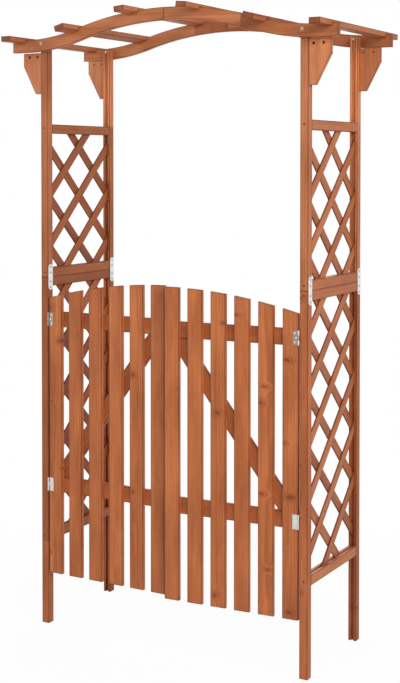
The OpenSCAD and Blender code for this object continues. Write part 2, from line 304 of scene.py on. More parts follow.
# %% [markdown]
# ## The stain
# The finish is a thin orange-brown stain with a dull sheen. It sinks deeper into latewood and end
# grain, and the knots go reddish black. The sawn corners are darkened in the colour as well. One
# multiplier could darken all three colours alike, but a thicker stain holds back blue and green
# light more than red, so what is darker is also redder: here the tone is raised to a power of its
# own for each colour. All woods take the same stain, so it is a group, and each wood only adds its
# own colours and its own log.

# %% The stain as a group
def blend(tree, mode, amount, a, b):
    """One Mix node for colours; returns its output."""
    return add(tree, "ShaderNodeMix", {0: amount, 6: a, 7: b}, data_type="RGBA",
               blend_type=mode).outputs[2]


CLOUD_SPAN, FIBRE_SPAN = (0.3, 0.7), (0.25, 0.75)  # how far the two noises really swing
CLOUDY, FIBROUS = (0.76, 1.2), (0.84, 1.14)  # the tones that they give
# one unit of tone, whether a board's own or painted shade
BOARD_STEP = 0.11  # what one unit of a board's own tone adds
# CORNER_DARK: how far the sawn corners and the rim beside them are darkened in the colour
CORNER_DARK, END_DARK = (-0.65, -0.4), -0.36  # what sawn corners and end grain take away
GREEN_POWER, BLUE_POWER = 1.3, 1.6
KNOT_COLOURS = {"Knot Halo": (0.29, 0.068, 0.018, 1), "Knot Core": (0.115, 0.03, 0.012, 1)}
KNOT_SHARE = 0.6  # how far a knot's colour covers the wood's
STAIN_ROUGHNESS = (0.6, 0.46)  # where it is thin, and where it is thick
LATE_RELIEF = 0.6  # how far latewood stands out, beside the fibres
stain, given, end = new_group(
    "Stain",
    [("Bare Wood", COLOUR, None), ("Latewood", FLOAT, 0.0), ("Fibre", FLOAT, 0.5),
     ("Cloud", FLOAT, 0.5), ("Board Tone", FLOAT, 0.0), ("Sawn Edge", FLOAT, 0.0),
     ("End Grain", FLOAT, 0.0), ("Knot Halo", FLOAT, 0.0), ("Knot Core", FLOAT, 0.0)],
    [("Colour", COLOUR), ("Roughness", FLOAT), ("Relief", FLOAT)])
tone = calc(stain, "MULTIPLY", remap(stain, given["Cloud"], CLOUD_SPAN, CLOUDY),
            remap(stain, given["Fibre"], FIBRE_SPAN, FIBROUS))
# the corners and a thin rim beside them are darkened in the colour, more or less as the cloud goes
corner_dark = remap(stain, given["Cloud"], CLOUD_SPAN, CORNER_DARK)
for mask, change in (("Board Tone", BOARD_STEP), ("Sawn Edge", corner_dark), ("End Grain", END_DARK)):
    tone = calc(stain, "MULTIPLY", tone, calc(stain, "MULTIPLY_ADD", given[mask], change, 1.0))
depth = add(stain, "ShaderNodeCombineColor", {
    "Red": tone, "Green": calc(stain, "POWER", tone, GREEN_POWER),
    "Blue": calc(stain, "POWER", tone, BLUE_POWER)})
colour = blend(stain, "MULTIPLY", 1.0, given["Bare Wood"], depth.outputs[0])
for part, tint in KNOT_COLOURS.items():
    colour = blend(stain, "MIX", calc(stain, "MULTIPLY", given[part], KNOT_SHARE), colour, tint)
put_out(stain, end, Colour=colour, Roughness=remap(stain, given["Cloud"], target=STAIN_ROUGHNESS),
        Relief=calc(stain, "MULTIPLY_ADD", given["Latewood"], LATE_RELIEF, given["Fibre"]))

# %% Stained wood
def attribute(tree, name, output="Fac"):
    return add(tree, "ShaderNodeAttribute", attribute_name=name).outputs[output]


def spaced(values):
    """The same values, with spaces for the underscores in their names."""
    return {name.replace("_", " "): value for name, value in values.items()}


def use(tree, group, **inputs):
    """Places a group in a material; returns its outputs."""
    return add(tree, "ShaderNodeGroup", spaced(inputs), node_tree=group).outputs


def surface(tree, effect, strength, depth, **others):
    """Ends a material: what the effect puts out goes into one Principled shader."""
    bump = add(tree, "ShaderNodeBump",
               {"Strength": strength, "Distance": depth, "Height": effect["Relief"]})
    shader = add(tree, "ShaderNodeBsdfPrincipled", {
        "Base Color": effect["Colour"], "Roughness": effect["Roughness"],
        "Normal": bump.outputs[0], **spaced(others)})
    add(tree, "ShaderNodeOutputMaterial", {"Surface": shader.outputs[0]})


def stained_wood(name, pale, deep, ring_width, wobble, spacing, share, knot_size, ring_share):
    """The material of boards that were sawn from one kind of log."""
    material, tree = new_material(name)
    log_place = attribute(tree, "log_place", "Vector")
    knot = use(tree, knots, Log_Place=log_place, Spacing=spacing, Share=share, Size=knot_size)
    ring = use(tree, rings, Log_Place=log_place, Ring_Width=ring_width, Wobble=wobble,
               Knot_Distance=knot["Distance"])
    grain = calc(tree, "MULTIPLY", ring["Latewood"], ring_share)
    stained = use(tree, stain, Bare_Wood=blend(tree, "MIX", grain, pale, deep),
                  Latewood=ring["Latewood"], Fibre=ring["Fibre"], Cloud=ring["Cloud"],
                  Board_Tone=attribute(tree, "tone_and_shade"),
                  Sawn_Edge=attribute(tree, "sawn_edge"), End_Grain=attribute(tree, "end_grain"),
                  Knot_Halo=knot["Halo"], Knot_Core=knot["Core"])
    surface(tree, stained, strength=0.25, depth=0.4 * MM, Specular_IOR_Level=0.34)
    return material


# %% Five woods
SLOW_LOG = dict(ring_width=0.0046, wobble=0.012, spacing=0.17, share=0.45, knot_size=0.0065,
                ring_share=0.75)
frame_wood = stained_wood("stained_frame_wood", (0.49, 0.158, 0.055, 1), (0.30, 0.078, 0.023, 1),
                          **SLOW_LOG)
# a darker, more saturated copy of the frame wood, from the same log: painted shade for the lower posts and the
# gate's rails and braces
shaded_wood = stained_wood("stained_wood_painted_shade", (0.45, 0.128, 0.037, 1), (0.28, 0.064, 0.015, 1),
                         **SLOW_LOG)
# a paler log with fewer knots, and its paler, less saturated colour is painted sheen, for the upper posts and the
# brackets
pale_sheen_wood = stained_wood("stained_pale_wood_painted_sheen", (0.57, 0.198, 0.075, 1), (0.44, 0.13, 0.042, 1),
                         ring_width=0.0075, wobble=0.016, spacing=0.2, share=0.2,
                         knot_size=0.0050, ring_share=0.6)
picket_wood = stained_wood("stained_picket_wood", (0.505, 0.148, 0.043, 1),
                           (0.33, 0.080, 0.020, 1), ring_width=0.0058, wobble=0.016,
                           spacing=0.15, share=0.5, knot_size=0.0080, ring_share=0.65)
strip_wood = stained_wood("stained_strip_wood", (0.46, 0.138, 0.045, 1), (0.28, 0.070, 0.019, 1),
                          ring_width=0.0036, wobble=0.008, spacing=0.14, share=0.3,
                          knot_size=0.0050, ring_share=0.7)
print(len(bpy.data.materials), "materials with the floor")

# %% [markdown]
# ## Boards
# A board in the frame is a sharp-edged solid. A real one has corners just broken by the sander,
# and here every face is framed by a thin dark line, darkened in the colour along its corners. A
# Bevel modifier would round the mouths of the grooves as well, which the saw left crisp. So each
# solid is copied, its triangles are merged back to flat faces, and only the outward corners of
# wide faces are bevelled.
# A narrow rim is set into each wide face, for the dark line to fade over.

# %% Flat faces
TOGETHER = 0.01 * MM  # corners this near are one
FLAT = math.radians(0.4)
SAME_WAY = 0.9999  # cosine between the normals of faces that lie flat


def reach(first, joins):
    """The faces that the first one leads to, over edges where joins(face, other) holds."""
    queue, found = [first], {first: None}
    while queue:
        face = queue.pop()
        for edge in face.edges:
            for other in edge.link_faces:
                if other not in found and joins(face, other):
                    found[other] = None
                    queue.append(other)
    return list(found)


def flatten(bm):
    """Merges the triangles of an exact solid back to flat faces."""
    bmesh.ops.remove_doubles(bm, verts=bm.verts, dist=TOGETHER)
    bmesh.ops.dissolve_limit(bm, angle_limit=FLAT, verts=bm.verts, edges=bm.edges)


def flat_widths(bm, without=()):
    """The width of each face, taken over all that lies flat with it: area over longest border."""
    bm.normal_update()
    widths = {}
    for first in bm.faces:
        if first in widths or first in without:
            continue
        flat = reach(first, lambda face, other: other not in without
                     and other.normal.dot(face.normal) > SAME_WAY)
        members = set(flat)
        border = max(edge.calc_length() for face in flat for edge in face.edges
                     if not members.issuperset(edge.link_faces))
        widths.update(dict.fromkeys(flat, sum(face.calc_area() for face in flat) / border))
    return widths


# %% Ease the corners
SHARP = math.radians(25)  # edges that turn less than this are left alone
TOWARDS = 0.7  # cosine within which a face looks a given way
RIM_ROOM = 2.2  # a face this many rims wide can take one
ROUNDING = dict(segments=2, profile=0.6, affect="EDGES", clamp_overlap=True)


def ease(bm, width, rim=2.4 * MM, crisp=9 * MM, face_side=None):
    """Breaks the outward corners and sets a rim beside them; returns the corners' vertices.

    A corner between two faces narrower than crisp is the mouth of a groove, and stays as cut.
    With a face_side, only the corners round the faces that look that way are broken."""
    widths = flat_widths(bm)

    def is_eased(edge):
        return (len(edge.link_faces) == 2 and edge.calc_face_angle_signed(0) > SHARP
                and max(widths[face] for face in edge.link_faces) > crisp
                and (not face_side
                     or any(face.normal.dot(face_side) > TOWARDS for face in edge.link_faces)))
    eased = [edge for edge in bm.edges if is_eased(edge)]
    bent = set(bmesh.ops.bevel(bm, geom=eased, offset=width, **ROUNDING)["faces"])
    wide = [face for face, across in flat_widths(bm, bent).items() if across > RIM_ROOM * rim]
    narrow = set(bm.faces) - set(wide)
    if rim:
        bmesh.ops.inset_region(bm, faces=wide, thickness=rim, use_boundary=True,
                               use_even_offset=True)
    bm.normal_update()
    return {vert for face in narrow for vert in face.verts}


# %% [markdown]
# ## A place in the log
# Boards of one kind come out of many logs, some sawn near the pith and some far out, so each gets
# a log of its own by luck, with a fixed seed. Cheap softwood is finger-jointed from short lengths
# of different trees, so a board may change tone and grain part of the way along it. Some boards are
# also split where shade falls across them, and the shaded length gets a darker tone: painted shade.
# A texture per length would do as well, but an attribute lets all boards share one material.

# %% Joints and tones
PANEL_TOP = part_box("left_upper_rails")[1].z
# Not all of these are finger joints: the rear upper posts are split at the panels' top, and the rear left beam
# near the crown, only to give a length painted shade; the front right beam's split is a finger joint and also the
# edge of slat 5's painted shadow.
JOINTS_AND_SHADE_LINES = {  # where boards are finger-jointed, along their grain
    "front_left_lower_post": (0.28,), "rear_left_upper_post": (PANEL_TOP,),
    "rear_right_upper_post": (PANEL_TOP,), "front_beam_right_half": (0.275,),
    "rear_beam_left_half": (-0.34, -0.13), "rear_beam_right_half": (0.31,)}
# Painted shade among these: the rear right lower post and the lower lengths of the rear upper posts, where the
# lattice shades them; the rear left beam's length by the crown, under a slat; and the front right beam's outer
# length, partly a finger joint's tone and partly the painted shadow of slat 5.
TONES_AND_SHADE = {  # of a node's boards, or of their lengths, low end first
    "front_left_lower_post": (0.4, -1.7), "rear_right_lower_post": (-1.8,),
    "front_left_upper_post": (-0.2,), "front_right_upper_post": (-0.5,),
    "rear_left_upper_post": (-2.8, 2.7), "rear_right_upper_post": (-1.2, 1.2),
    "front_beam_left_half": (1.0,), "front_beam_right_half": (0.7, -1.2),
    "rear_beam_left_half": (1.9, 1.9, -0.7), "rear_beam_right_half": (0.6, -2.2),
    "front_left_bracket": (1.1,), "front_right_bracket": (0.4,),
    "rear_left_bracket": (2.3,), "rear_right_bracket": (-1.5,), "slat_6": (-0.9,),
    "left_lower_rails": (0, -2.7), "left_upper_rails": (-1.6, -1.8),
    "right_lower_rails": (1.2, -0.4), "right_upper_rails": (-0.4, 0),
    "left_pickets": (0.3, 0.1, 0.5, 1.0, 0.2, 0.1),
    "right_pickets": (-0.1, 0.7, 0.2, 0.5, 0.3, 0.2),
    **dict.fromkeys(("left_gate_upper_rail", "left_gate_lower_rail", "right_gate_upper_rail",
                     "right_gate_lower_rail"), (1.4,)),
    "left_gate_brace": (0.5,), "right_gate_brace": (0.5,)}
print(len(JOINTS_AND_SHADE_LINES), "nodes with finger joints; the panels end", round(PANEL_TOP, 3), "m up")

# %% Boards in order
def loose_parts(bm):
    """The separate boards of a mesh, as lists of faces, in the order of their places."""
    boards, seen = [], set()
    for first in bm.faces:
        if first not in seen:
            boards.append(reach(first, lambda face, other: True))
            seen.update(boards[-1])

    def place(board):
        return tuple(round(sum(face.calc_center_median()[axis] for face in board) / len(board), 4)
                     for axis in range(3))
    return sorted(boards, key=place)


# %% Lay the grain
PITH_NEAR, PITH_FAR = 0.025, 0.085  # how far from the pith a board was sawn
LOG_LENGTH = 30  # boards begin anywhere along it
TONE_LUCK = 0.5  # how far a board's tone strays by itself
BEYOND = 9  # past either end of any board
END_ON = 0.8  # cosine within which a face is an end


def lay_grain(bm, name, along, corners, tones, joints=()):
    """Writes each length's place in its log, its tone, and where its ends and corners are.

    The tones are listed board by board, or length by length for a board that is finger-jointed
    at the given joints along its grain."""
    along = Vector(along).normalized()
    side = along.orthogonal().normalized()
    other = along.cross(side)
    place = bm.loops.layers.float_vector.new("log_place")
    edge = bm.loops.layers.float.new("sawn_edge")
    tone = bm.faces.layers.float.new("tone_and_shade")
    end = bm.faces.layers.float.new("end_grain")
    number = 0
    for board in loose_parts(bm):
        middle = sum((face.calc_center_median() for face in board), Vector()) / len(board)
        for low, high in zip((-BEYOND, *joints), (*joints, BEYOND)):
            luck = random.Random(f"{name} {number}")
            turn, far = luck.uniform(0, math.tau), luck.uniform(PITH_NEAR, PITH_FAR)
            start = luck.uniform(0, LOG_LENGTH)
            pith = (far * math.cos(turn), far * math.sin(turn))
            tone_and_shade = luck.uniform(-TONE_LUCK, TONE_LUCK)
            tone_and_shade += tones[number] if number < len(tones) else 0
            number += 1
            for face in board:
                if not low < face.calc_center_median().dot(along) <= high:
                    continue
                face[tone] = tone_and_shade
                face[end] = float(abs(face.normal.dot(along)) > END_ON)
                for loop in face.loops:
                    p = loop.vert.co - middle
                    loop[place] = (p.dot(side) + pith[0], p.dot(other) + pith[1],
                                   p.dot(along) + start)
                    loop[edge] = float(loop.vert in corners)


# %% Make a piece
def finish_piece(bm, name, material, body, slot, *nodes):
    """Turns the mesh being edited into a piece that rides on its body and stands for its nodes."""
    mesh = bpy.data.meshes.new(name)
    bm.to_mesh(mesh)
    bm.free()
    mesh.materials.append(material)
    piece = put(name, mesh)
    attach(piece, body)
    if nodes:
        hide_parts(*nodes)
    return piece


NODE_BODY = {node: body for body, members in frame["record"]["behaviour"]["bodies"].items()
             for node in members}


def dress(node, along, material, corner=0.8 * MM, slot="stained_wood", face_side=None):
    """Makes the piece that stands for a node: a board with grain along it, or plain metal."""
    bm = bmesh.new()
    bm.from_mesh(frame["nodes"][node].data)
    flatten(bm)
    joints = JOINTS_AND_SHADE_LINES.get(node, ())
    for joint in joints:
        bmesh.ops.bisect_plane(bm, geom=[*bm.verts, *bm.edges, *bm.faces],
                               plane_co=Vector(along) * joint, plane_no=along)
    if along:
        corners = ease(bm, corner, face_side=face_side)
        lay_grain(bm, node, along, corners, TONES_AND_SHADE.get(node, ()), joints)
    else:
        ease(bm, corner, rim=0, crisp=0)
    return finish_piece(bm, node + "_made", material, NODE_BODY[node], slot, node)


print("ready to dress", len(NODE_BODY), "nodes")

# %% [markdown]
# ## Frame boards
# The posts are ripped with the grain running up them, and the rails and slats lie along the depth
# of the passage. The wavy beams could be steamed and bent, and then the grain would follow the
# wave. They are sawn out of wide straight boards instead, so their grain runs straight through the
# curve and comes out at its edges.

# %% Posts, rails, beams, slats and brackets
UP, ALONG, ACROSS = (0, 0, 1), (0, 1, 0), (1, 0, 0)  # up, along the passage, and across it
# Lower posts take the painted-shade copy, darker towards the floor; upper posts and brackets take the
# painted-sheen copy, but the front left upper post keeps the frame wood, painted darker towards the left.
for end in ("front", "rear"):
    for side in ("left", "right"):
        dress(f"{end}_{side}_lower_post", UP, shaded_wood)
        wood = frame_wood if (end, side) == ("front", "left") else pale_sheen_wood
        dress(f"{end}_{side}_upper_post", UP, wood)
        dress(f"{end}_beam_{side}_half", ACROSS, frame_wood)
        dress(f"{end}_{side}_bracket", UP, pale_sheen_wood)
for side in ("left", "right"):
    for length in ("lower", "upper"):
        dress(f"{side}_{length}_rails", ALONG, frame_wood)
for number in range(1, 7):
    dress(f"slat_{number}", ALONG, frame_wood)
print("dressed the posts, beams, brackets, rails and slats")

# %% [markdown]
# ## Gate boards
# Each leaf is six pickets screwed to two rails, with a brace that carries the free corner's weight
# down to the lower hinge. The right leaf stands a little open, so its boards lie at an angle.
# The pickets could be eased all round like the posts, but only their face side is sanded, and
# crisp corners at the back close the seam at the post, as on the real gate.

# %% Gate
# The gate's rails and braces take the painted-shade copy, as they stand in the pickets' shade.
for sign, side in ((-1, "left"), (1, "right")):
    dress(f"{side}_pickets", UP, picket_wood, face_side=Vector((0, -1, 0)))
    for rail in ("upper", "lower"):
        dress(f"{side}_gate_{rail}_rail", ACROSS, shaded_wood)
    low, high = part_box(f"{side}_gate_brace")
    lean = (-sign * (high.x - low.x), 0, high.z - low.z)
    dress(f"{side}_gate_brace", lean, shaded_wood)

# %% [markdown]
# ## Lattice
# The side panels are two layers of thin strips, crossed and stapled, with their ends let into the
# grooves of the posts and rails. An Array modifier could repeat a strip, but its ends would still
# have to be cut to the panel. Geometry Nodes do both: they set one layer's strips out along a line
# at even steps and cut them to the field, and the boards' finish follows.

# %% Run a node tree
def value_inputs(tree, **sizes):
    """Named inputs of a Geometry Nodes tree."""
    for label, (kind, value) in spaced(sizes).items():
        socket = tree.interface.new_socket(label, in_out="INPUT", socket_type=kind)
        if value is not None:
            socket.default_value = value


def run_tree(tree, name, mesh, **values):
    """Runs a tree on a mesh and returns the plain mesh that it makes."""
    carrier = put(name, mesh)
    modifier = carrier.modifiers.new("nodes", "NODES")
    modifier.node_group = tree
    names = {socket.name: socket.identifier for socket in tree.interface.items_tree
             if socket.item_type == "SOCKET" and socket.in_out == "INPUT"}
    for label, value in spaced(values).items():
        modifier[names[label]] = value
    depsgraph = bpy.context.evaluated_depsgraph_get()
    made = bpy.data.meshes.new_from_object(carrier.evaluated_get(depsgraph))
    bpy.data.objects.remove(carrier)
    return made


def cube(tree, size):
    return add(tree, "GeometryNodeMeshCube", {"Size": size}).outputs[0]


def transform(tree, geometry, **how):
    """Moves or scales a part of a tree."""
    return add(tree, "GeometryNodeTransform", {"Geometry": geometry, **how}).outputs[0]


def close_tree(tree, placed, material):
    """Ends a tree: real faces in place of instances, and their material."""
    real = add(tree, "GeometryNodeRealizeInstances", {0: placed}).outputs[0]
    done = add(tree, "GeometryNodeSetMaterial", {"Geometry": real, "Material": material})
    add(tree, "NodeGroupOutput", {0: done.outputs[0]})


# %% A node tree for one layer of lattice
WHOLE, MATERIAL, GEOMETRY = "NodeSocketInt", "NodeSocketMaterial", "NodeSocketGeometry"
LONG_ENOUGH = 2.0  # a strip before it is cut to the field
lattice = bpy.data.node_groups.new("Lattice layer", "GeometryNodeTree")
lattice.interface.new_socket("Geometry", in_out="OUTPUT", socket_type=GEOMETRY)
value_inputs(lattice, Strips=(WHOLE, 8), Strip_Width=(FLOAT, 0.031),
             Strip_Thickness=(FLOAT, 0.0045), Step=(FLOAT, 0.169), First=(FLOAT, 0.0),
             Slope=(FLOAT, 0.8), Layer_Place=(FLOAT, 0.0), Field_Middle=(VECTOR, None),
             Field_Size=(VECTOR, None), Wood=(MATERIAL, None))
given = add(lattice, "NodeGroupInput").outputs
start = combine(lattice, X=given["Layer Place"], Z=given["First"])
spots = add(lattice, "GeometryNodeMeshLine",
            {"Count": given["Strips"], "Start Location": start,
             "Offset": combine(lattice, Z=given["Step"])}, mode="OFFSET").outputs[0]
strip = cube(lattice, combine(lattice, X=given["Strip Thickness"], Y=LONG_ENOUGH,
                              Z=given["Strip Width"]))
laid = add(lattice, "GeometryNodeInstanceOnPoints",
           {"Points": spots, "Instance": strip,
            "Rotation": combine(lattice, X=given["Slope"])}).outputs[0]
real = add(lattice, "GeometryNodeRealizeInstances", {0: laid}).outputs[0]
field = transform(lattice, cube(lattice, given["Field Size"]), Translation=given["Field Middle"])
cut = add(lattice, "GeometryNodeMeshBoolean", {}, operation="INTERSECT")
for part in (real, field):
    lattice.links.new(part, cut.inputs["Mesh 2"])
close_tree(lattice, cut.outputs[0], given["Wood"])
print("tree:", lattice.name, "with", len(given) - 1, "inputs")

# %% Set out the four panels
DIAMOND = (0.088, 0.0845)  # half of a diamond, along the panel and up
STRIPS = {"lower": 6, "upper": 4}
LOWEST = {"lower": 0.0575, "upper": -0.0875}  # middle of the first strip, above the field's foot
# The falling strips lie on the -X side of each panel, behind the rising ones as seen from the right, and are
# darker: painted shade from the layer in front. The left upper panel is darker all over, painted shade too.
LAYER_TONES_AND_SHADE = {  # of the rising and the falling strips
    "left_lower_lattice": (0, -1.0), "left_upper_lattice": (-1.7, -2.7),
    "right_lower_lattice": (0.0, -1.4), "right_upper_lattice": (0.3, -0.9)}
STRIP_CORNER, STRIP_RIM = 0.9 * MM, 2 * MM
slope = math.atan2(DIAMOND[1], DIAMOND[0])
for side in ("left", "right"):
    for length in ("lower", "upper"):
        node = f"{side}_{length}_lattice"
        low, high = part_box(node)
        middle, size = (low + high) / 2, high - low
        layers = bmesh.new()
        for rise, tone in zip((1, -1), LAYER_TONES_AND_SHADE[node]):
            made = run_tree(lattice, node, bpy.data.meshes.new(node), Strips=STRIPS[length],
                            Strip_Thickness=size.x / 2, Step=2 * DIAMOND[1],
                            First=low.z + LOWEST[length], Slope=rise * slope,
                            Layer_Place=middle.x + rise * size.x / 4, Field_Middle=middle,
                            Field_Size=(1.0, size.y, size.z), Wood=strip_wood)
            layer = bmesh.new()
            layer.from_mesh(made)
            flatten(layer)
            corners = ease(layer, STRIP_CORNER, STRIP_RIM)
            lay_grain(layer, f"{node} {rise}", (0, DIAMOND[0], rise * DIAMOND[1]), corners,
                      (tone,) * STRIPS[length])
            layer.to_mesh(made)
            layer.free()
            layers.from_mesh(made)
        piece = finish_piece(layers, node + "_strips", strip_wood, "arch", "lattice_wood", node)
        print(piece.name, len(piece.data.polygons), "faces")

# %% [markdown]
# ## Steel
# The joiner plates and hinges are pressed from zinc-plated sheet, which is bright and slightly
# cloudy; the upper hinges have dulled. The screws are of several kinds: bright ones in the slats
# and hinges, yellowish bolts, and screws through the posts that took the stain. One even grey
# would look like plastic, so every metal gets a faint cloud in its colour and its gloss.

# %% The cloud on metal, as a group
clouded, given, end = new_group(
    "Clouded metal",
    [("Place", VECTOR, None), ("Scale", FLOAT, 160.0), ("Dark", COLOUR, None),
     ("Pale", COLOUR, None), ("Dullest", FLOAT, 0.5), ("Brightest", FLOAT, 0.3)],
    [("Colour", COLOUR), ("Roughness", FLOAT), ("Relief", FLOAT)])
cloud = add(clouded, "ShaderNodeTexNoise", {
    "Vector": given["Place"], "Scale": given["Scale"], "Detail": 4.0}).outputs["Fac"]
put_out(clouded, end, Colour=blend(clouded, "MIX", cloud, given["Dark"], given["Pale"]),
        Roughness=remap(clouded, cloud, target=(given["Dullest"], given["Brightest"])),
        Relief=cloud)

# %% Metals
DULLER, BRIGHTER = 0.1, 0.08  # how far the roughness strays either way


def metal(name, dark, pale, rough, clouds):
    """A metal from its two colours, its roughness, and how many clouds it has a metre."""
    material, tree = new_material(name)
    place = add(tree, "ShaderNodeTexCoord").outputs["Object"]
    cloudy = use(tree, clouded, Place=place, Scale=clouds, Dark=dark, Pale=pale,
                 Dullest=rough + DULLER, Brightest=rough - BRIGHTER)
    surface(tree, cloudy, strength=0.1, depth=0.2 * MM, Metallic=1.0)
    return material


plate_zinc = metal("zinc_plate", (0.66, 0.67, 0.68, 1), (0.9, 0.9, 0.89, 1), 0.42, 120.0)
hinge_zinc = metal("hinge_steel", (0.5, 0.49, 0.46, 1), (0.8, 0.78, 0.74, 1), 0.38, 160.0)
screw_zinc = metal("screw_steel", (0.6, 0.57, 0.5, 1), (0.86, 0.83, 0.76, 1), 0.3, 400.0)
yellow_zinc = metal("yellow_zinc", (0.36, 0.25, 0.14, 1), (0.6, 0.45, 0.28, 1), 0.4, 400.0)
dull_steel = metal("dulled_steel", (0.22, 0.19, 0.15, 1), (0.42, 0.37, 0.3, 1), 0.45, 160.0)
dark_screw = metal("dark_screw", (0.17, 0.045, 0.02, 1), (0.28, 0.08, 0.035, 1), 0.5, 400.0)
print(len(bpy.data.materials), "materials with the metals")

# %% Plates and hinges
SHEET_CORNER = 0.3 * MM
SHEETS = {"joiner_plates": plate_zinc, "post_hinges": hinge_zinc, "gate_hinges": hinge_zinc}
for side in ("left", "right"):
    for sheet, zinc in SHEETS.items():
        dress(f"{side}_{sheet}", None, zinc, SHEET_CORNER, "zinc_steel")

BETWEEN_HINGES = 0.8  # a height between the lower and the upper hinges
DULLED = ("left_post_hinges", "left_gate_hinges", "right_gate_hinges")
for node in DULLED:
    hinges = bpy.data.objects[node + "_made"].data
    hinges.materials.append(dull_steel)
    for face in hinges.polygons:
        face.material_index = int(face.center.z > BETWEEN_HINGES)
print("the upper hinges of", ", ".join(DULLED), "have dulled")

# %% [markdown]
# ## Screws and bolts
# Every fixing is one of a few turned heads, most with a cross recess. Heads could be copied and
# placed one by one, but a mesh of bare points says it more plainly: where they sit, with the way
# each faces as an attribute. A node tree turns one head to face that way at every point, and gives
# each a turn of its own, as a fitter would leave them.

# %% A node tree for heads
BLOCK = 50 * MM  # what is cut away below a head
NO_RECESS = 0.1 * MM  # a recess smaller than this is left out
CLEAR = 10 * MM  # how far the cutters are then lifted
BAR_WIDTH = 0.64  # of a bar of the cross, as a share of Recess
BARS = (("X", "Y", 1.0), ("Y", "X", 0.92))  # long way, short way, and depth; unequal cut clean
QUARTER_TURN = 1.57
heads = bpy.data.node_groups.new("Screw heads", "GeometryNodeTree")
heads.interface.new_socket("Geometry", in_out="INPUT", socket_type=GEOMETRY)
heads.interface.new_socket("Geometry", in_out="OUTPUT", socket_type=GEOMETRY)
value_inputs(heads, Head_Radius=(FLOAT, 0.004), Head_Height=(FLOAT, 0.001),
             Collar_Radius=(FLOAT, 0.004), Collar_Height=(FLOAT, 0.0005), Collar_Sides=(WHOLE, 24),
             Recess=(FLOAT, 0.002), Seed=(WHOLE, 1), Steel=(MATERIAL, None))
given = add(heads, "NodeGroupInput").outputs
radius, height = given["Head Radius"], given["Head Height"]
collar_height = given["Collar Height"]
ball = add(heads, "GeometryNodeMeshUVSphere", {"Segments": 20, "Rings": 12, "Radius": radius})
squash = combine(heads, X=1.0, Y=1.0, Z=calc(heads, "DIVIDE", height, radius))
dome = transform(heads, ball.outputs[0], Scale=squash,
                 Translation=combine(heads, Z=collar_height))
collar = add(heads, "GeometryNodeMeshCylinder",
             {"Vertices": given["Collar Sides"], "Radius": given["Collar Radius"],
              "Depth": collar_height})
half_rise = combine(heads, Z=calc(heads, "MULTIPLY", collar_height, 0.5))
collar = transform(heads, collar.outputs[0], Translation=half_rise)

# %% The cross, cut by two bars
tools = [transform(heads, cube(heads, (BLOCK, BLOCK, BLOCK)), Translation=(0, 0, -BLOCK / 2))]
reached = calc(heads, "MAXIMUM", given["Recess"], NO_RECESS)
plain = calc(heads, "LESS_THAN", given["Recess"], NO_RECESS)
top = calc(heads, "ADD", height, collar_height)
lift = combine(heads, Z=calc(heads, "MULTIPLY_ADD", plain, CLEAR, top))
for long_way, short_way, depth in BARS:
    bar = combine(heads, **{long_way: calc(heads, "MULTIPLY", reached, 2.0),
                            short_way: calc(heads, "MULTIPLY", reached, BAR_WIDTH),
                            "Z": calc(heads, "MULTIPLY", height, depth)})
    tools.append(transform(heads, cube(heads, bar), Translation=lift))
cut = add(heads, "GeometryNodeMeshBoolean", {"Mesh 1": dome}, operation="DIFFERENCE",
          solver="MANIFOLD")
for tool in tools:
    heads.links.new(tool, cut.inputs["Mesh 2"])
head = add(heads, "GeometryNodeMeshBoolean", {}, operation="UNION", solver="MANIFOLD")
for part in (cut.outputs[0], collar):
    heads.links.new(part, head.inputs["Mesh 2"])

# %% Heads at the points
facing = add(heads, "GeometryNodeInputNamedAttribute", {"Name": "facing"},
             data_type="FLOAT_VECTOR").outputs[0]
aim = add(heads, "FunctionNodeAlignRotationToVector", {"Vector": facing}, axis="Z").outputs[0]
spin = add(heads, "FunctionNodeRandomValue", {"Max": QUARTER_TURN, "Seed": given["Seed"]})
aim = add(heads, "FunctionNodeRotateRotation",
          {"Rotation": aim, "Rotate By": combine(heads, Z=spin.outputs[1])},
          rotation_space="LOCAL").outputs[0]
placed = add(heads, "GeometryNodeInstanceOnPoints",
             {"Points": given["Geometry"], "Instance": head.outputs[0], "Rotation": aim})
close_tree(heads, placed.outputs[0], given["Steel"])
print("tree:", heads.name, "with", len(given) - 1, "inputs")

# %% Put heads on the arch
MERGED = 0.002 * MM  # edges this short are closed after the cut


def head_sizes(radius, height, collar_height, recess, collar_radius=None, **others):
    """The tree's inputs for one kind of head, from its sizes in millimetres."""
    return dict(Head_Radius=radius * MM, Head_Height=height * MM,
                Collar_Radius=(collar_radius or radius) * MM, Collar_Height=collar_height * MM,
                Recess=recess * MM, **others)


def fix(name, body, spots, steel, seed, sizes):
    """Heads at spots, a list of (place, facing), as one piece on a body."""
    mesh = bpy.data.meshes.new(name)
    mesh.from_pydata([place for place, _ in spots], [], [])
    facing = mesh.attributes.new("facing", "FLOAT_VECTOR", "POINT")
    for spot, (_, way) in zip(facing.data, spots):
        spot.vector = way
    made = run_tree(heads, name, mesh, Steel=steel, Seed=seed, **sizes)
    bm = bmesh.new()
    bm.from_mesh(made)
    bmesh.ops.dissolve_degenerate(bm, dist=MERGED, edges=bm.edges)
    print(name, len(spots), "heads,", len(bm.faces), "faces")
    return finish_piece(bm, name, steel, body, "zinc_steel")


# %% [markdown]
# ## Where the fixings go
# The beams are bolted to the posts with dome-headed bolts, with a nut on the inner side. The
# panels' rails are screwed through the posts, and the slats are screwed down on the beams. The
# brackets' screws sit deep in their holes, and two more show on the inner faces at the rear. Their
# places could be typed in one by one, but they follow the boards that they hold, so they are
# worked out from the boards' own boxes, and move along if a board does.

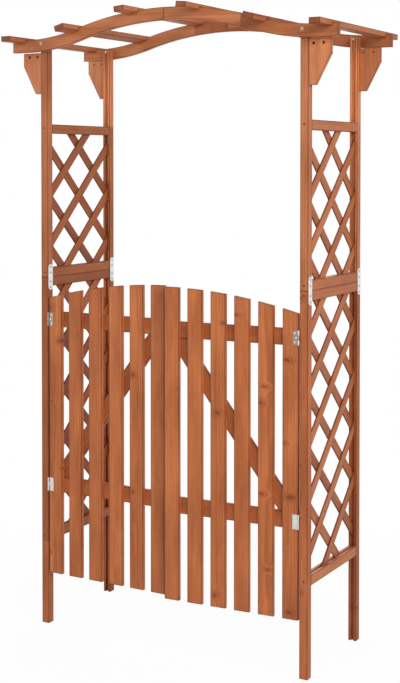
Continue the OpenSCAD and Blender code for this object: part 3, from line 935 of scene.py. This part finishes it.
# %% Bolts and nuts
FRONT, REAR = (0, -1, 0), (0, 1, 0)
BOLT_UP = 27 * MM  # above the beam's lowest point
BOLT = head_sizes(4.6, 2.6, 1, 2.2, collar_radius=6)
NUT = head_sizes(3, 3, 3, 0, collar_radius=5.4, Collar_Sides=6)
post_low, post_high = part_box("front_right_upper_post")
post_x = (post_low.x + post_high.x) / 2
beam_low, beam_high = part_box("front_beam_right_half")
bolt_z = beam_low.z + BOLT_UP
ends = [(sign * post_x, way) for sign in (-1, 1) for way in (1, -1)]
fix("beam_bolts", "arch", [((x, beam_low.y * way, bolt_z), (0, -way, 0)) for x, way in ends],
    yellow_zinc, 3, BOLT)
fix("beam_nuts", "arch", [((x, post_high.y * way, bolt_z), (0, way, 0)) for x, way in ends],
    yellow_zinc, 4, NUT)

# %% Frame screws
RAIL_LOW, RAIL_HIGH = 16 * MM, 14 * MM  # from the rails' outer edges
HOLES = (15.5 * MM, 48.5 * MM)  # from the bracket's inner edge
HOLE_DOWN, HOLE_DEEP = 13 * MM, 6 * MM
panel_rails = []
for length in ("lower", "upper"):
    low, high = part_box(f"right_{length}_rails")
    panel_rails += [low.z + RAIL_LOW, high.z - RAIL_HIGH]
bracket_low, bracket_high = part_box("front_right_bracket")
screws = []
for sign in (-1, 1):
    for way in (1, -1):
        screws += [((sign * post_x, post_low.y * way, z), (0, -way, 0)) for z in panel_rails]
    for off in HOLES:
        x, z = sign * (bracket_low.x + off), bracket_high.z - HOLE_DOWN
        # sunk in the outer faces, and driven flush from inside on the rear brackets
        screws += [((x, bracket_low.y + HOLE_DEEP, z), FRONT),
                   ((x, -bracket_low.y - HOLE_DEEP, z), REAR), ((x, -bracket_high.y, z), FRONT)]
fix("frame_screws", "arch", screws, dark_screw, 5, head_sizes(3.7, 0.5, 0.2, 1.9))

# %% Slat screws
slat_screws = []
beam_middle = (beam_low.y + beam_high.y) / 2
for number in range(1, 7):
    low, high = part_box(f"slat_{number}")
    x, slat = (low.x + high.x) / 2, frame["nodes"][f"slat_{number}"].data
    top = max(slat.polygons, key=lambda face: face.normal.z)
    lean = top.normal.normalized()
    z = top.center.z - lean.x / lean.z * (x - top.center.x)
    slat_screws += [((x, y, z), lean) for y in (beam_middle, -beam_middle)]
fix("slat_screws", "arch", slat_screws, screw_zinc, 6, head_sizes(3.6, 0.5, 0.2, 2.0))

# %% Plate screws
PLATE_HOLES = (-34, -15, 15, 34)  # millimetres up from the plate's middle
plate_low, plate_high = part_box("right_joiner_plates")
plate_z, post_y = (plate_low.z + plate_high.z) / 2, (post_low.y + post_high.y) / 2
plates = []
for x, way in ((plate_low.x, -1), (plate_high.x, 1)):
    for sign in (-1, 1):
        for y in (post_y, -post_y):
            plates += [((x * sign, y, plate_z + up * MM), (way * sign, 0, 0))
                       for up in PLATE_HOLES]
fix("plate_screws", "arch", plates, dull_steel, 7, head_sizes(3.2, 0.9, 0.3, 1.9))

# %% [markdown]
# ## The leaves' screws
# The gate's rails and braces are screwed from behind, so that the pickets' faces stay clean, and
# only the hinges show their screws at the front. Both leaves are alike, so the places are worked
# out once, on the closed left leaf. For the right leaf they are mirrored and turned about its
# hinge pin, by the few degrees that it stands open.

# %% A place on either leaf
def hang(side, place):
    """A point of the closed left leaf, put on either leaf as it stands."""
    place = Vector(place)
    if side == "left":
        return place
    pin = next(joint for joint in frame["joints"] if joint["name"] == "right_gate_hinge")
    ajar = Matrix.Rotation(math.radians(-pin["range_deg"][0]), 4, "Z")
    middle = Vector(pin["pos_m"])
    return middle + ajar @ (Vector((-place.x, place.y, place.z)) - middle)


def turned(side, way):
    """A direction on the closed left leaf, as it points on either leaf."""
    return hang(side, way) - hang(side, (0, 0, 0))


# %% Gate screws
PICKET_WIDTH, PICKET_COUNT = 51 * MM, 6
PAIR = ((-12 * MM, 11 * MM), (12 * MM, -11 * MM))  # two screws behind each picket, on a slant
BRACE_SCREWS = (0.2, 0.4, 0.6, 0.8)  # shares of the brace's length
HINGE_EDGE, MIDDLE_IN = 7 * MM, 3.5 * MM  # screws from the hinge's edge, the middle one further
UPPER_HINGE_UP = 26 * MM  # above the upper rail's lower edge
PROUD = 1.5 * MM  # how far the hinge stands out from the pickets
HINGE_SCREWS = (-14, 0, 14)  # millimetres up from the hinge's middle
leaf_low, leaf_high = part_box("left_pickets")
pitch = (leaf_high.x - leaf_low.x - PICKET_WIDTH) / (PICKET_COUNT - 1)
rail_low, rail_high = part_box("left_gate_lower_rail")
brace_low, brace_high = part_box("left_gate_brace")
hinge_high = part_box("left_gate_hinges")[1]
for side in ("left", "right"):
    back, face = [], []
    for node in ("left_gate_lower_rail", "left_gate_upper_rail"):
        low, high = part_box(node)
        for number in range(PICKET_COUNT):
            x = leaf_low.x + PICKET_WIDTH / 2 + number * pitch
            back += [(x + dx, (low.z + high.z) / 2 + dz) for dx, dz in PAIR]
    back += [brace_low.lerp(brace_high, share).xz for share in BRACE_SCREWS]
    back = [(hang(side, (x, rail_high.y, z)), turned(side, REAR)) for x, z in back]
    fix(f"{side}_leaf_back_screws", f"{side}_leaf", back, screw_zinc, 8,
        head_sizes(3.4, 0.5, 0.2, 1.9))
    upper_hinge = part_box("left_gate_upper_rail")[0].z + UPPER_HINGE_UP
    for z in ((rail_low.z + rail_high.z) / 2, upper_hinge):
        for dz in HINGE_SCREWS:
            x = hinge_high.x - HINGE_EDGE - (MIDDLE_IN if dz == 0 else 0)
            face.append((hang(side, (x, leaf_low.y - PROUD, z + dz * MM)), turned(side, FRONT)))
    fix(f"{side}_hinge_screws", f"{side}_leaf", face, screw_zinc, 9,
        head_sizes(2.9, 0.9, 0.2, 1.7))

# %% [markdown]
# ## The colours
# A film look would shift the stain's tone, so the colours are shown as they are.

# %% Show the colours as they are
bpy.context.scene.view_settings.view_transform = "Standard"
